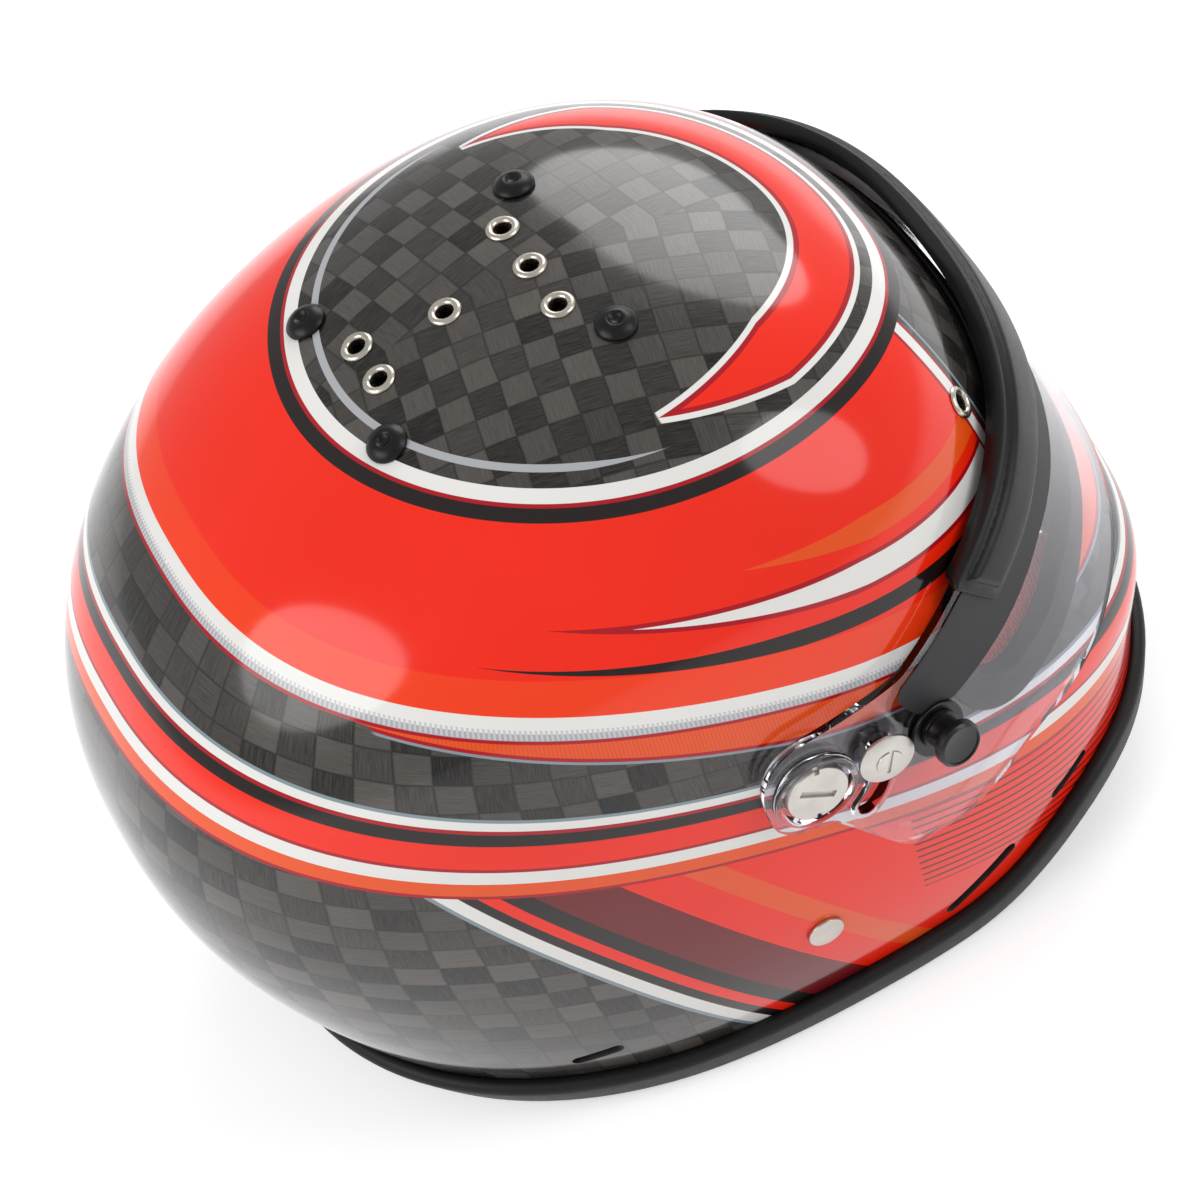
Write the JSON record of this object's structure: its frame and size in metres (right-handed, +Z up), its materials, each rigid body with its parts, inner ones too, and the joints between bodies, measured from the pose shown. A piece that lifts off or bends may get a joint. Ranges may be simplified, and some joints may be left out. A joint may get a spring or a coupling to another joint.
{
  "type": "auto racing helmet",
  "caption": "Full-face car racing helmet with a clear pivoting visor, tear-off posts, crown vent eyelets, padded lining and a ring-fastened chin strap.",
  "frame": {"origin": "on the surface that the helmet stands on, straight below the visor's pivot axis, at the middle of the neck opening", "axes": "+Z up, -Y the way the wearer looks, -X the wearer's right side; the visor's pivot axis runs along X"},
  "size_m": [0.285, 0.3361, 0.2467],
  "materials": {
    "painted_carbon": "clear-coated carbon laminate, painted in red, white and black bands",
    "black_rubber": "matt moulded rubber",
    "clear_polycarbonate": "clear polycarbonate with polished edges",
    "black_film": "gloss black film",
    "foam": "expanded bead foam",
    "red_fabric": "woven fireproof cloth over foam",
    "grey_fabric": "woven fireproof cloth over foam",
    "silver_metal": "satin silver",
    "zinc_steel": "plated steel",
    "black_plastic": "moulded nylon",
    "black_webbing": "woven strap"
  },
  "bodies": {
    "shell": {"outer_shell": "painted_carbon", "bottom_edge_trim": "black_rubber", "eyeport_gasket": "black_rubber", "crown_rubber_plugs": "black_rubber", "foam_crown": "foam", "foam_band": "foam", "cheek_pad_right": "red_fabric", "cheek_pad_left": "red_fabric", "crown_pad": "red_fabric", "chin_bar_liner": "grey_fabric", "neck_roll": "grey_fabric", "pivot_screw_right": "silver_metal", "pivot_screw_left": "silver_metal", "stop_screw_right": "silver_metal", "stop_screw_left": "silver_metal", "stop_inset_screw_right": "silver_metal", "stop_inset_screw_left": "silver_metal", "anchor_screw_right": "silver_metal", "anchor_screw_left": "silver_metal", "crown_vent_eyelets": "silver_metal", "brow_vent_eyelets": "silver_metal", "pivot_nut_right": "zinc_steel", "pivot_nut_left": "zinc_steel", "stop_nut_right": "zinc_steel", "stop_nut_left": "zinc_steel", "anchor_plate_right": "zinc_steel", "anchor_plate_left": "zinc_steel", "anchor_nut_right": "zinc_steel", "anchor_nut_left": "zinc_steel", "pivot_base_right": "black_plastic", "pivot_base_left": "black_plastic", "stop_washer_right": "black_plastic", "stop_washer_left": "black_plastic", "chin_strap_long": "black_webbing", "chin_strap_short": "black_webbing"},
    "visor": {"visor": "clear_polycarbonate", "visor_top_seal": "black_rubber", "sun_strip": "black_film", "tear_off_washer_right": "black_plastic", "tear_off_washer_left": "black_plastic", "tear_off_inner_washer_right": "black_plastic", "tear_off_inner_washer_left": "black_plastic", "tear_off_screw_right": "zinc_steel", "tear_off_screw_left": "zinc_steel"},
    "post_right": {"tear_off_post_right": "black_plastic"},
    "post_left": {"tear_off_post_left": "black_plastic"},
    "ring_upper": {"d_ring_upper": "zinc_steel"},
    "ring_lower": {"d_ring_lower": "zinc_steel"}
  },
  "joints": [
    {"name": "visor_hinge", "type": "hinge", "parent": "shell", "child": "visor", "pos_m": [0, 0, 0.1295], "axis": [-1, 0, 0], "range_deg": [0, 50]},
    {"name": "post_right_turn", "type": "hinge", "parent": "visor", "child": "post_right", "pos_m": [-0.12849, -0.04192, 0.12278], "axis": [-0.9775, -0.1952, 0.0798], "range_deg": [0, 180]},
    {"name": "post_left_turn", "type": "hinge", "parent": "visor", "child": "post_left", "pos_m": [0.12849, -0.04192, 0.12278], "axis": [0.9775, -0.1952, 0.0798], "range_deg": [-180, 0]},
    {"name": "ring_upper_swing", "type": "hinge", "parent": "shell", "child": "ring_upper", "pos_m": [0.052, 0.0089, 0.0095], "axis": [0, 1, 0], "range_deg": [0, 60]},
    {"name": "ring_lower_swing", "type": "hinge", "parent": "shell", "child": "ring_lower", "pos_m": [0.052, 0.0089, 0.0053], "axis": [0, -1, 0], "range_deg": [0, 40]}
  ]
}
